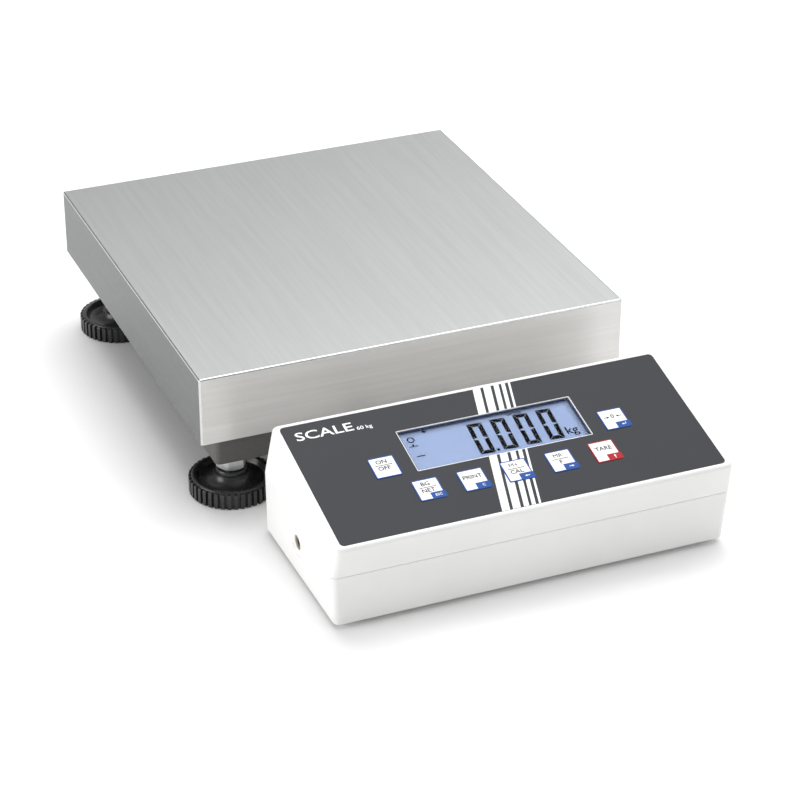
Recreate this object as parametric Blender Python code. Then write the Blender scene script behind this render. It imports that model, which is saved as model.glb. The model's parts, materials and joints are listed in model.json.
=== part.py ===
"""Counting scale: a weighing platform with a lift-off pan, and a free-standing indicator in front of it.

Metres, +Z up. The origin is at the middle of the whole object's box, on the surface it stands on.
"""

import math

import bmesh
import bpy
from mathutils import Matrix, Vector

# Weighing plate: a folded pan of stainless sheet.
PLATE_WIDTH = 0.306
PLATE_DEPTH = 0.316
PLATE_TOP = 0.1044
SKIRT_HEIGHT = 0.0492
PLATE_SHEET = 0.0015
PLATE_BEND = 0.002

# Base frame: an inverted channel all round, with a beam across it for the load cell.
FRAME_INSET = 0.0135
FRAME_BOTTOM = 0.0295
FRAME_TOP = 0.062
FRAME_CORNER = 0.0036
RAIL_WIDTH = 0.032
RAIL_WALL = 0.003
BEAM_WIDTH = 0.060
BEAM_BOTTOM = 0.030
BEAM_TOP = 0.036

# Levelling feet.
FOOT_INSET = 0.0292
PAD_RADIUS = 0.0294
PAD_RIM = 0.0124
PAD_TOP = 0.0173
STUD_RADIUS = 0.006
STUD_TOP = 0.056
NUT_BOTTOM = 0.0189
NUT_TOP = 0.0266
NUT_FLATS = 0.019
BLOCK_SIDE = 0.021
BLOCK_BOTTOM = 0.0269

# Load cell, and what sits above and below it.
CELL_LENGTH = 0.150
CELL_WIDTH = 0.030
CELL_BOTTOM = 0.0423
CELL_TOP = 0.0823
CELL_BOLTS = (0.043, 0.067)
BOLT_RADIUS = 0.003
CARRIER_HALF = (0.135, 0.140)
CARRIER_BOTTOM = 0.0883
CARRIER_TOP = 0.0923
BUFFER_PLACE = (0.118, 0.122)
STOP_TOP = 0.0878
STOP_RADIUS = 0.004

# Indicator: side profile from its front bottom edge, as (back from it, above the floor).
INDICATOR_OFFSET = 0.0154
INDICATOR_REACH = 0.1589
CASE_BOTTOM = 0.0034
CASE_BACK = 0.127
PARTING_FRONT = (-0.0013, 0.0393)
PARTING_BACK = (0.1213, 0.0514)
TOP_FRONT = (-0.0069, 0.0629)
TOP_BACK = (0.1096, 0.0898)
BOTTOM_HALF = 0.137
PARTING_HALF = 0.1396
TOP_HALF = 0.13775
CASE_CORNER = 0.0045
CASE_EDGE = 0.0025
BOTTOM_EDGE = 0.0012
CASE_WALL = 0.0025
SCREW_PLACE = (0.124, 0.030, 0.096)
STAND_PLACE = (0.121, 0.015, 0.112)
BOSS_JOINT = 0.020
SCREW_SEAT = 0.009
MAIN_BOARD_BOTTOM = 0.013
SOCKET_HEIGHT = 0.026
GLAND_X = -0.040
POWER_X = 0.010
DATA_X = 0.070
INSERT_PLACE = (0.0617, 0.030)
INSERT_RADIUS = 0.005

# Front panel, seen square on: x from its middle, y up the slope from its middle.
PANEL_WIDTH = 0.267
PANEL_HEIGHT = 0.1119
PANEL_CORNER = 0.003
RECESS = 0.001
CEILING = 0.0035
KEY_WIDTH = 0.0177
KEY_HEIGHT = 0.0188
KEY_PROUD = 0.00035
KEY_UNDER = 0.00045
KEY_CENTRES = {
    "key_on_off": (0.0521, 0.0532),
    "key_gross_net": (0.0713, 0.0801),
    "key_print": (0.1022, 0.0801),
    "key_memory_add": (0.1325, 0.0801),
    "key_memory_recall": (0.1637, 0.0801),
    "key_tare": (0.1949, 0.0798),
    "key_zero": (0.2140, 0.0530),
}
WINDOW_SIZE = (0.123, 0.0384)
WINDOW_CENTRE = (0.1328, 0.0434)
LCD_OPENING = (0.117, 0.0330)
BOARD_DEPTH = 0.0093
BOARD_SHEET = 0.0016

GAP = 0.0003        # left between pieces that touch
PAD_OVERHANG = PAD_RADIUS - FOOT_INSET
PANEL_TILT = math.atan2(TOP_BACK[1] - TOP_FRONT[1], TOP_BACK[0] - TOP_FRONT[0])
CASE_OVERHANG = -TOP_FRONT[0] - CASE_EDGE * math.sin(PANEL_TILT)
PLATE_X = (PLATE_WIDTH / 2 + PAD_OVERHANG - INDICATOR_OFFSET - PARTING_HALF) / 2
PLATE_Y = (INDICATOR_REACH + CASE_OVERHANG - PAD_OVERHANG) / 2
TOP_LENGTH = math.dist(TOP_FRONT, TOP_BACK)
PANEL_MIDDLE = Vector((0, (TOP_FRONT[0] + TOP_BACK[0]) / 2, (TOP_FRONT[1] + TOP_BACK[1]) / 2))
PANEL_FRAME = Matrix.Translation(PANEL_MIDDLE) @ Matrix.Rotation(PANEL_TILT, 4, "X")
BACK_LEAN = math.atan2(CASE_BACK - PARTING_BACK[0], PARTING_BACK[1] - CASE_BOTTOM)
SIDES = {"front_left": (-1, -1), "front_right": (1, -1), "rear_left": (-1, 1), "rear_right": (1, 1)}


def finish(name, colour, roughness, metallic=0.0, alpha=1.0):
    """A plain Principled material."""
    material = bpy.data.materials.new(name)
    material.use_nodes = True
    shader = material.node_tree.nodes["Principled BSDF"]
    shader.inputs["Base Color"].default_value = (*colour, 1.0)
    shader.inputs["Roughness"].default_value = roughness
    shader.inputs["Metallic"].default_value = metallic
    shader.inputs["Alpha"].default_value = alpha
    return material


def circle(radius, height, segments=16):
    """Points anticlockwise round a circle."""
    angles = [2 * math.pi * k / segments for k in range(segments)]
    return [Vector((radius * math.cos(angle), radius * math.sin(angle), height)) for angle in angles]


def hexagon(flats, height, segments=12):
    """Points anticlockwise round a hexagon, as many as on a circle."""
    points = []
    for point in circle(1, height, segments):
        angle = math.atan2(point.y, point.x)
        from_flat = (angle + math.pi / 6) % (math.pi / 3) - math.pi / 6
        reach = flats / 2 / math.cos(from_flat)
        points.append(Vector((reach * math.cos(angle), reach * math.sin(angle), height)))
    return points


def rounded(half_x, half_y, radius, height, segments=3):
    """Points anticlockwise round a rectangle with round corners."""
    points = []
    for corner, (side_x, side_y) in enumerate(((1, 1), (-1, 1), (-1, -1), (1, -1))):
        for step in range(segments + 1):
            angle = math.pi / 2 * (corner + step / segments)
            x = side_x * (half_x - radius) + radius * math.cos(angle)
            y = side_y * (half_y - radius) + radius * math.sin(angle)
            points.append(Vector((x, y, height)))
    return points


def loft(loops):
    """A closed shape through the loops, capped at both ends."""
    return loops, False


def ring(loops):
    """A closed shape through the loops and back to the first, round a hole."""
    return loops, True


def turned(profile, segments=16):
    """A solid of revolution, from its lower middle, outside and up, to its upper middle."""
    return loft([circle(radius, height, segments) for radius, height in profile])


def turned_ring(profile, segments=16):
    """The same round a hole."""
    return ring([circle(radius, height, segments) for radius, height in profile])


def block(low, high):
    """A box between two corners."""
    corners = ((low[0], low[1]), (high[0], low[1]), (high[0], high[1]), (low[0], high[1]))
    return loft([[Vector((x, y, height)) for x, y in corners] for height in (low[2], high[2])])


def moved(shape, matrix):
    """The shape at another place."""
    loops, is_ring = shape
    return [[matrix @ point for point in loop] for loop in loops], is_ring


def at(x, y, z=0.0):
    """A shift."""
    return Matrix.Translation((x, y, z))


def make_mesh(name, shapes):
    """One mesh that holds every shape."""
    bm = bmesh.new()
    for loops, is_ring in shapes:
        rows = [[bm.verts.new(point) for point in loop] for loop in loops]
        pairs = list(zip(rows, rows[1:]))
        if is_ring:
            pairs.append((rows[-1], rows[0]))
        else:
            bm.faces.new(reversed(rows[0]))
            bm.faces.new(rows[-1])
        for lower, upper in pairs:
            for k, vert in enumerate(lower):
                after = (k + 1) % len(lower)
                bm.faces.new((vert, lower[after], upper[after], upper[k]))
    mesh = bpy.data.meshes.new(name)
    bm.to_mesh(mesh)
    bm.free()
    mesh.shade_smooth()
    mesh.set_sharp_from_angle(angle=math.radians(35))
    return mesh


def piece(name, material, parent, *shapes, place=(0, 0, 0)):
    """One named sub-part."""
    thing = bpy.data.objects.new(name, make_mesh(name, shapes))
    thing.data.materials.append(material)
    thing.parent = parent
    thing.location = place
    bpy.context.scene.collection.objects.link(thing)
    return thing


def reshape(thing, operation, *shapes):
    """Join shapes to a piece, or cut them from it."""
    guide = piece(f"{thing.name}_{operation.lower()}", None, thing.parent, *shapes, place=thing.location)
    guide.display_type = "WIRE"
    guide.hide_render = True
    modifier = thing.modifiers.new(operation.title(), "BOOLEAN")
    modifier.operation = operation
    modifier.solver = "EXACT"
    modifier.object = guide


def empty(name, parent, matrix):
    """A place that pieces hang on."""
    holder = bpy.data.objects.new(name, None)
    holder.parent = parent
    holder.matrix_local = matrix
    bpy.context.scene.collection.objects.link(holder)
    return holder


def top_height(y):
    """Height of the case's slanted top, or of its plane, above the floor."""
    return TOP_FRONT[1] + (y - TOP_FRONT[0]) * math.tan(PANEL_TILT)


def parting_height(y):
    """Height of the line where the two shells meet."""
    slope = (PARTING_BACK[1] - PARTING_FRONT[1]) / (PARTING_BACK[0] - PARTING_FRONT[0])
    return PARTING_FRONT[1] + (y - PARTING_FRONT[0]) * slope


def case_loop(half_x, front, back, radius, height_at):
    """A round-cornered outline of the case, on a level or slanted plane."""
    middle = (front + back) / 2
    outline = rounded(half_x, (back - front) / 2, radius, 0)
    return [Vector((point.x, point.y + middle, height_at(point.y + middle))) for point in outline]


def on_panel(from_left, from_back):
    """Panel coordinates of a place measured from the panel's left and back edges."""
    return from_left - PANEL_WIDTH / 2, PANEL_HEIGHT / 2 - from_back


def slab(centre, size, low, high, corner=0.0008):
    """A flat round-cornered slab that lies along the panel."""
    outline = (size[0] / 2, size[1] / 2, corner)
    return moved(loft([rounded(*outline, low, 2), rounded(*outline, high, 2)]), at(*centre))


def foot_place(side_x, side_y):
    """A levelling foot's centre, from the plate's."""
    return side_x * (PLATE_WIDTH / 2 - FOOT_INSET), side_y * (PLATE_DEPTH / 2 - FOOT_INSET)


def make_base_frame(platform, paint):
    """Welded channel frame with foot blocks at the corners and the load cell's beam."""
    half_x = PLATE_WIDTH / 2 - FRAME_INSET
    half_y = PLATE_DEPTH / 2 - FRAME_INSET
    inner = RAIL_WIDTH - RAIL_WALL
    ceiling = FRAME_TOP - RAIL_WALL
    section = (
        (0, FRAME_CORNER, FRAME_BOTTOM),
        (0, FRAME_CORNER, FRAME_TOP - 0.001),
        (0.001, FRAME_CORNER - 0.001, FRAME_TOP),
        (RAIL_WIDTH, 0.001, FRAME_TOP),
        (RAIL_WIDTH, 0.001, FRAME_BOTTOM),
        (inner, 0.004, FRAME_BOTTOM),
        (inner, 0.004, ceiling),
        (RAIL_WALL, 0.002, ceiling),
        (RAIL_WALL, 0.002, FRAME_BOTTOM),
    )
    loops = [rounded(half_x - inset, half_y - inset, radius, height) for inset, radius, height in section]
    frame = piece("base_frame", paint, platform, ring(loops))

    beam_end = half_y - RAIL_WIDTH + RAIL_WALL / 2
    added = [block((-BEAM_WIDTH / 2, -beam_end, BEAM_BOTTOM), (BEAM_WIDTH / 2, beam_end, BEAM_TOP))]
    half_block = BLOCK_SIDE / 2
    block_top = (ceiling + FRAME_TOP) / 2
    foot_block = block((-half_block, -half_block, BLOCK_BOTTOM), (half_block, half_block, block_top))
    stud_hole = turned([(STUD_RADIUS + GAP, 0.020), (STUD_RADIUS + GAP, STUD_TOP + 0.002)])
    bolt_hole = turned([(BOLT_RADIUS + GAP, 0.028), (BOLT_RADIUS + GAP, 0.040)])
    stop_hole = turned([(STOP_RADIUS + GAP, 0.055), (STOP_RADIUS + GAP, 0.066)])
    gland_hole = moved(turned([(0.0063, -0.010), (0.0063, 0.005)]), gland_frame())
    removed = [moved(bolt_hole, at(0, -y)) for y in CELL_BOLTS] + [gland_hole]
    for side in SIDES.values():
        added.append(moved(foot_block, at(*foot_place(*side))))
        removed.append(moved(stud_hole, at(*foot_place(*side))))
        removed.append(moved(stop_hole, at(*stop_place(*side))))
    reshape(frame, "UNION", *added)
    reshape(frame, "DIFFERENCE", *removed)


def stop_place(side_x, side_y):
    """An overload stop's centre, on the middle of the front or back rail."""
    return side_x * 0.095, side_y * (PLATE_DEPTH / 2 - FRAME_INSET - RAIL_WIDTH / 2)


def gland_frame():
    """The base cable gland's axis, out of the front rail."""
    front = -PLATE_DEPTH / 2 + FRAME_INSET
    return at(0.040, front, 0.0445) @ Matrix.Rotation(math.pi / 2, 4, "X")


def make_feet(platform, black, steel):
    """Screw-in levelling feet: a knurled pad on a stud, locked by a nut."""
    hub = 0.0106
    pad_profile = [
        (PAD_RADIUS - 0.0022, 0),
        (PAD_RADIUS, 0.0016),
        (PAD_RADIUS, PAD_RIM - 0.0022),
        (PAD_RADIUS - 0.0022, PAD_RIM),
        (PAD_RADIUS - 0.0048, PAD_RIM),
        (PAD_RADIUS - 0.0060, PAD_RIM - 0.0045),
        (hub + 0.0012, PAD_RIM - 0.0045),
        (hub, PAD_TOP - 0.0010),
        (hub - 0.0010, PAD_TOP),
        (STUD_RADIUS + GAP, PAD_TOP),
        (STUD_RADIUS + GAP, 0.0040 - GAP),
    ]
    stud_profile = [
        (STUD_RADIUS - 0.0008, 0.0040),
        (STUD_RADIUS, 0.0048),
        (STUD_RADIUS, STUD_TOP - 0.001),
        (STUD_RADIUS - 0.001, STUD_TOP),
    ]
    bore = STUD_RADIUS + GAP
    chamfer = 0.0008
    nut_loops = [
        circle(bore, NUT_BOTTOM, 12),
        circle(NUT_FLATS / 2, NUT_BOTTOM, 12),
        hexagon(NUT_FLATS, NUT_BOTTOM + chamfer),
        hexagon(NUT_FLATS, NUT_TOP - chamfer),
        circle(NUT_FLATS / 2, NUT_TOP, 12),
        circle(bore, NUT_TOP, 12),
    ]
    for corner, side in SIDES.items():
        place = (*foot_place(*side), 0)
        piece(f"foot_pad_{corner}", black, platform, turned(pad_profile, 24), place=place)
        piece(f"foot_stud_{corner}", steel, platform, turned(stud_profile), place=place)
        piece(f"foot_nut_{corner}", steel, platform, ring(nut_loops), place=place)


def make_load_cell(platform, aluminium, zinc):
    """Single-point load cell between two spacers, bolted to the beam and to the carrier."""
    half_x = CELL_WIDTH / 2
    half_y = CELL_LENGTH / 2
    middle = (CELL_BOTTOM + CELL_TOP) / 2
    billet = block((-half_x, -half_y, CELL_BOTTOM), (half_x, half_y, CELL_TOP))
    cell = piece("load_cell", aluminium, platform, billet)
    bore = moved(turned([(0.0095, -0.020), (0.0095, 0.020)]), Matrix.Rotation(math.pi / 2, 4, "Y"))
    slot = block((-0.020, -0.013, middle - 0.004), (0.020, 0.013, middle + 0.004))
    hole = BOLT_RADIUS + GAP
    reshape(cell, "DIFFERENCE", moved(bore, at(0, -0.0135, middle)), moved(bore, at(0, 0.0135, middle)))
    depth = 0.014
    into_bottom = turned([(hole, CELL_BOTTOM - 0.002), (hole, CELL_BOTTOM + depth)])
    into_top = turned([(hole, CELL_TOP - depth), (hole, CELL_TOP + 0.002)])
    holes = [moved(into_bottom, at(0, -y)) for y in CELL_BOLTS]
    holes += [moved(into_top, at(0, y)) for y in CELL_BOLTS]
    reshape(cell, "DIFFERENCE", slot, *holes)

    half_spacer = 0.020
    through = turned([(hole, 0.030), (hole, 0.095)])
    levels = {
        "lower_spacer": (-1, BEAM_TOP + GAP, CELL_BOTTOM - GAP),
        "upper_spacer": (1, CELL_TOP + GAP, CARRIER_BOTTOM - GAP),
    }
    for name, (side, low, high) in levels.items():
        centre = side * sum(CELL_BOLTS) / 2
        shim = block((-half_x, centre - half_spacer, low), (half_x, centre + half_spacer, high))
        spacer = piece(name, zinc, platform, shim)
        reshape(spacer, "DIFFERENCE", *[moved(through, at(0, side * y)) for y in CELL_BOLTS])

    head = 0.005        # radius and height of a socket head
    tip = 0.012
    under = BEAM_BOTTOM - GAP
    over = CARRIER_TOP + GAP
    lower_bolt = [(head, under - head), (head, under), (BOLT_RADIUS, under), (BOLT_RADIUS, CELL_BOTTOM + tip)]
    upper_bolt = [(BOLT_RADIUS, CELL_TOP - tip), (BOLT_RADIUS, over), (head, over), (head, over + head)]
    for end, y in zip(("inner", "outer"), CELL_BOLTS):
        piece(f"lower_bolt_{end}", zinc, platform, turned(lower_bolt, 16), place=(0, -y, 0))
        piece(f"upper_bolt_{end}", zinc, platform, turned(upper_bolt, 16), place=(0, y, 0))


def make_carrier(platform, zinc, rubber):
    """Carrier plate on the load cell, with a rubber buffer at each corner."""
    outline = (*CARRIER_HALF, 0.012)
    plate = loft([rounded(*outline, CARRIER_BOTTOM), rounded(*outline, CARRIER_TOP)])
    carrier = piece("carrier_plate", zinc, platform, plate)
    cut_low = CARRIER_BOTTOM - 0.002
    cut_high = CARRIER_TOP + 0.002
    slot = loft([rounded(0.022, 0.040, 0.010, height) for height in (cut_low, cut_high)])
    hole = turned([(BOLT_RADIUS + GAP, cut_low), (BOLT_RADIUS + GAP, cut_high)])
    holes = [moved(hole, at(0, y)) for y in CELL_BOLTS]
    slots = [moved(slot, at(side_x * 0.080, side_y * 0.070)) for side_x, side_y in SIDES.values()]
    reshape(carrier, "DIFFERENCE", *slots, *holes)
    low = CARRIER_TOP + GAP
    high = PLATE_TOP - PLATE_SHEET - GAP
    buffer_profile = [(0.0085, low), (0.009, low + 0.001), (0.0075, high - 0.001), (0.0065, high)]
    for corner, (side_x, side_y) in SIDES.items():
        place = (side_x * BUFFER_PLACE[0], side_y * BUFFER_PLACE[1], 0)
        piece(f"plate_buffer_{corner}", rubber, platform, turned(buffer_profile), place=place)


def make_stops(platform, steel):
    """Overload stops: studs with a lock nut, just short of the carrier."""
    seat = FRAME_TOP + GAP
    nut = 0.013
    nut_top = seat + 0.0065
    loops = [
        circle(STOP_RADIUS, 0.056, 12),
        circle(STOP_RADIUS, seat, 12),
        hexagon(nut, seat),
        hexagon(nut, nut_top),
        circle(STOP_RADIUS, nut_top, 12),
        circle(STOP_RADIUS, STOP_TOP, 12),
    ]
    for corner, side in SIDES.items():
        piece(f"overload_stop_{corner}", steel, platform, loft(loops), place=(*stop_place(*side), 0))


def make_level(platform, black, glass):
    """Round spirit level on the left rail, seen when the plate is lifted off."""
    place = (-(PLATE_WIDTH / 2 - FRAME_INSET - RAIL_WIDTH / 2), 0.060, FRAME_TOP + GAP)
    cup = [(0.0115, 0), (0.012, 0.001), (0.012, 0.010), (0.0095, 0.010), (0.0095, 0.003)]
    vial = [(0.009, 0.003 + GAP), (0.009, 0.0095), (0.0085, 0.0103)]
    piece("level_housing", black, platform, turned(cup), place=place)
    piece("level_vial", glass, platform, turned(vial), place=place)


def gland_shape(length):
    """A cable gland along +Z: thread inside the wall, collar and tapered cap outside it."""
    thread = 0.006
    reach = 0.009
    collar = 0.0088
    profile = [
        (0.0028, -reach),
        (thread, -reach),
        (thread, GAP),
        (collar, GAP),
        (collar, length * 0.35),
        (collar - 0.0012, length * 0.35 + 0.0006),
        (collar - 0.0020, length - 0.001),
        (collar - 0.0034, length),
        (0.0028, length),
    ]
    return turned_ring(profile)


def make_plate(platform, stainless):
    """The pan: a flat top with four folded skirts, lifted off upwards."""
    half_x = PLATE_WIDTH / 2
    half_y = PLATE_DEPTH / 2
    skirt_bottom = PLATE_TOP - SKIRT_HEIGHT
    underside = PLATE_TOP - PLATE_SHEET
    inner = (half_x - PLATE_SHEET, half_y - PLATE_SHEET, PLATE_BEND - PLATE_SHEET)
    loops = [
        rounded(*inner, underside),
        rounded(*inner, skirt_bottom),
        rounded(half_x, half_y, PLATE_BEND, skirt_bottom),
    ]
    bend_steps = 4
    for step in range(bend_steps + 1):
        angle = math.pi / 2 * step / bend_steps
        inset = PLATE_BEND * (1 - math.cos(angle)) * 0.9
        height = PLATE_TOP - PLATE_BEND * (1 - math.sin(angle))
        loops.append(rounded(half_x - inset, half_y - inset, PLATE_BEND - inset, height))
    piece("weighing_plate", stainless, platform, loft(loops))


def make_lower_shell(indicator, plastic):
    """Bottom half of the case: a tray with bosses for the screws, the board and the side inserts."""
    parting = (PARTING_HALF, PARTING_FRONT[0], PARTING_BACK[0], CASE_CORNER, parting_height)

    def bottom_loop(inset, height):
        return case_loop(BOTTOM_HALF - inset, inset, CASE_BACK - inset, CASE_CORNER - inset, lambda y: height)

    loops = [
        bottom_loop(BOTTOM_EDGE, CASE_BOTTOM),
        bottom_loop(BOTTOM_EDGE * 0.3, CASE_BOTTOM + BOTTOM_EDGE * 0.3),
        bottom_loop(0, CASE_BOTTOM + BOTTOM_EDGE),
        case_loop(*parting),
        case_loop(PARTING_HALF - CASE_WALL, PARTING_FRONT[0] + CASE_WALL, PARTING_BACK[0] - CASE_WALL,
                  CASE_CORNER - CASE_WALL, parting_height),
        bottom_loop(CASE_WALL, CASE_BOTTOM + CASE_WALL),
    ]
    shell = piece("lower_shell", plastic, indicator, loft(loops))

    in_floor = CASE_BOTTOM + CASE_WALL / 2
    screw_boss = turned([(0.006, in_floor), (0.006, BOSS_JOINT)])
    board_post = turned([(0.003, in_floor), (0.003, MAIN_BOARD_BOTTOM - GAP)], 12)
    sink = 0.004
    clear = 0.0018
    above = BOSS_JOINT + 0.001
    screw_hole = turned([(sink, CASE_BOTTOM - 0.002), (sink, SCREW_SEAT), (clear, SCREW_SEAT), (clear, above)])
    added = [moved(board_post, at(x, y)) for x in (-0.092, 0.092) for y in (0.026, 0.094)]
    removed = []
    for x, y in screw_places():
        added.append(moved(screw_boss, at(x, y)))
        removed.append(moved(screw_hole, at(x, y)))
    insert_boss = turned([(0.008, 0.128), (0.008, BOTTOM_HALF)])
    insert_hole = turned([(INSERT_RADIUS + GAP, 0.127), (INSERT_RADIUS + GAP, 0.142)])
    for side in (-1, 1):
        added.append(moved(insert_boss, insert_frame(side)))
        removed.append(moved(insert_hole, insert_frame(side)))
    reshape(shell, "UNION", *added)
    removed.append(moved(turned([(0.0054, -0.006), (0.0054, 0.004)]), back_wall(POWER_X)))
    removed.append(moved(turned([(0.0063, -0.006), (0.0063, 0.004)]), back_wall(GLAND_X)))
    removed.append(moved(block((-0.010, -0.005, -0.006), (0.010, 0.005, 0.004)), back_wall(DATA_X)))
    reshape(shell, "DIFFERENCE", *removed)


def screw_places():
    """The four case screws."""
    x, front, back = SCREW_PLACE
    return [(side * x, y) for y in (front, back) for side in (-1, 1)]


def insert_frame(side):
    """The axis of a threaded insert, from the case's middle out to one side."""
    return at(0, *INSERT_PLACE) @ Matrix.Rotation(side * math.pi / 2, 4, "Y")


def back_wall(x):
    """A place on the outside of the back wall, with +Z straight out of it."""
    y = CASE_BACK - (SOCKET_HEIGHT - CASE_BOTTOM) * math.tan(BACK_LEAN)
    return at(x, y, SOCKET_HEIGHT) @ Matrix.Rotation(BACK_LEAN - math.pi / 2, 4, "X")


def make_upper_shell(indicator, plastic):
    """Top half of the case, with the panel's recess, the display opening and the key holes."""
    half_y = TOP_LENGTH / 2

    def meet(y):
        return parting_height(y) + GAP

    def on_top(half_x, half, radius, depth):
        return [PANEL_FRAME @ point for point in rounded(half_x, half, radius, -depth)]

    inner = (TOP_HALF - CASE_WALL, half_y - CASE_WALL, CASE_CORNER - CASE_WALL)
    loops = [
        on_top(*inner, CEILING),
        case_loop(PARTING_HALF - CASE_WALL, PARTING_FRONT[0] + CASE_WALL, PARTING_BACK[0] - CASE_WALL,
                  CASE_CORNER - CASE_WALL, meet),
        case_loop(PARTING_HALF, PARTING_FRONT[0], PARTING_BACK[0], CASE_CORNER, meet),
    ]
    for step in range(4):
        angle = math.pi / 2 * step / 3
        inset = CASE_EDGE * (1 - math.cos(angle))
        depth = CASE_EDGE * (1 - math.sin(angle))
        loops.append(on_top(TOP_HALF - inset, half_y - inset, CASE_CORNER - inset, depth))
    recess = (PANEL_WIDTH / 2 + GAP, PANEL_HEIGHT / 2 + GAP, PANEL_CORNER)
    loops += [on_top(*recess, 0), on_top(*recess, RECESS)]
    shell = piece("upper_shell", plastic, indicator, loft(loops))

    boss_depth = (RECESS + CEILING) / 2 / math.cos(PANEL_TILT)
    pilot = turned([(0.0018, BOSS_JOINT - 0.001), (0.0018, BOSS_JOINT + 0.014)], 12)
    added = []
    removed = []
    for x, y in screw_places():
        boss = turned([(0.0045, BOSS_JOINT + GAP), (0.0045, top_height(y) - boss_depth)])
        added.append(moved(boss, at(x, y)))
        removed.append(moved(pilot, at(x, y)))
    post = turned([(0.003, -BOARD_DEPTH + GAP), (0.003, -CEILING + 0.001)], 12)
    added += [moved(post, PANEL_FRAME @ at(x, y)) for x in (-0.112, 0.112) for y in (-0.042, 0.042)]
    reshape(shell, "UNION", *added)

    x, y = on_panel(*WINDOW_CENTRE)
    half_u, half_v = LCD_OPENING[0] / 2, LCD_OPENING[1] / 2
    opening = block((x - half_u, y - half_v, -CEILING - 0.001), (x + half_u, y + half_v, 0.001))
    stem_hole = turned([(0.0026, -CEILING - 0.001), (0.0026, 0.001)], 16)
    removed.append(moved(opening, PANEL_FRAME))
    removed += [moved(stem_hole, PANEL_FRAME @ at(*on_panel(*centre))) for centre in KEY_CENTRES.values()]
    reshape(shell, "DIFFERENCE", *removed)


def make_panel(panel, foil, white, red, clear, lcd, board):
    """What lies in the case's slanted top: overlay, keys, display window and what is under them."""
    low = -RECESS + GAP
    sheet = slab((0, 0), (PANEL_WIDTH, PANEL_HEIGHT), low, 0, PANEL_CORNER)
    overlay = piece("keypad_overlay", foil, panel, sheet)
    window = on_panel(*WINDOW_CENTRE)
    cut_low, cut_high = -0.002, 0.001
    holes = [slab(window, (WINDOW_SIZE[0] + 2 * GAP, WINDOW_SIZE[1] + 2 * GAP), cut_low, cut_high)]
    key_hole = (KEY_WIDTH + 2 * GAP, KEY_HEIGHT + 2 * GAP)
    holes += [slab(on_panel(*centre), key_hole, cut_low, cut_high) for centre in KEY_CENTRES.values()]
    reshape(overlay, "DIFFERENCE", *holes)

    piece("lcd_window", clear, panel, slab((0, 0), WINDOW_SIZE, low, -0.00010), place=(*window, 0))
    module = (LCD_OPENING[0] + 0.005, LCD_OPENING[1] + 0.005)
    module_top = -CEILING - GAP
    piece("lcd_module", lcd, panel, slab((0, 0), module, -BOARD_DEPTH + GAP, module_top), place=(*window, 0))
    laminate = slab((0, 0), (0.236, 0.096), -BOARD_DEPTH - BOARD_SHEET, -BOARD_DEPTH, 0.002)
    piece("display_board", board, panel, laminate)

    outline = (KEY_WIDTH / 2, KEY_HEIGHT / 2, 0.0012)
    for name, centre in KEY_CENTRES.items():
        cap = loft([rounded(*outline, -KEY_UNDER, 4), rounded(*outline, KEY_PROUD, 4)])
        key = piece(name, red if name == "key_tare" else white, panel, cap, place=(*on_panel(*centre), 0))
        reshape(key, "UNION", turned([(0.002, -BOARD_DEPTH + 0.0008), (0.002, 0)], 16))


def make_case_parts(indicator, brass, rubber, steel, black, board):
    """Inserts, sockets, screws and rubber feet of the indicator."""
    bore = 0.0025
    insert = [
        (bore, 0.1275), (INSERT_RADIUS, 0.1275), (INSERT_RADIUS, 0.1375),
        (INSERT_RADIUS - 0.0005, 0.138), (bore + 0.0005, 0.138), (bore, 0.1375),
    ]
    for name, side in (("left", -1), ("right", 1)):
        piece(f"side_insert_{name}", brass, indicator, moved(turned_ring(insert), insert_frame(side)))

    x, front, back = STAND_PLACE
    stand = [(0.0065, 0), (0.007, 0.0005), (0.007, 0.003), (0.0065, CASE_BOTTOM - GAP)]
    corners = {"front": front, "rear": back}
    seat = SCREW_SEAT - GAP
    head = 0.0035
    shank = 0.0015
    tip = 0.032
    screw = [(head - 0.0005, seat - 0.0024), (head, seat - 0.0018), (head, seat), (shank, seat), (shank, tip)]
    screw_rows = {"front": SCREW_PLACE[1], "rear": SCREW_PLACE[2]}
    for end, y in corners.items():
        for name, side in (("left", -1), ("right", 1)):
            piece(f"indicator_foot_{end}_{name}", rubber, indicator, turned(stand), place=(side * x, y, 0))
            screw_place = (side * SCREW_PLACE[0], screw_rows[end], 0)
            piece(f"case_screw_{end}_{name}", steel, indicator, turned(screw, 16), place=screw_place)

    board_top = MAIN_BOARD_BOTTOM + BOARD_SHEET
    laminate = block((-0.100, 0.018, MAIN_BOARD_BOTTOM), (0.100, 0.102, board_top))
    piece("main_board", board, indicator, laminate)
    barrel = [(0.005, -0.010), (0.005, GAP), (0.0068, GAP), (0.0068, 0.0025)]
    socket_and_pin = [(0.0032, 0.0025), (0.0032, -0.0065), (0.001, -0.0065), (0.001, 0.0015)]
    jack = barrel + socket_and_pin
    piece("power_jack", black, indicator, moved(turned(jack), back_wall(POWER_X)))
    piece("indicator_cable_gland", black, indicator, moved(gland_shape(0.014), back_wall(GLAND_X)))
    flange = loft([rounded(0.0154, 0.0062, 0.002, height) for height in (GAP, 0.0015)])
    port = piece("data_port", steel, indicator, moved(flange, back_wall(DATA_X)))
    body = block((-0.0096, -0.0046, -0.012), (0.0096, 0.0046, 0.001))
    shroud = ring([rounded(0.0085, 0.0042, 0.002, 0.001), rounded(0.0085, 0.0042, 0.002, 0.007),
                   rounded(0.0078, 0.0035, 0.0014, 0.007), rounded(0.0078, 0.0035, 0.0014, 0.001)])
    reshape(port, "UNION", moved(body, back_wall(DATA_X)), moved(shroud, back_wall(DATA_X)))


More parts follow.
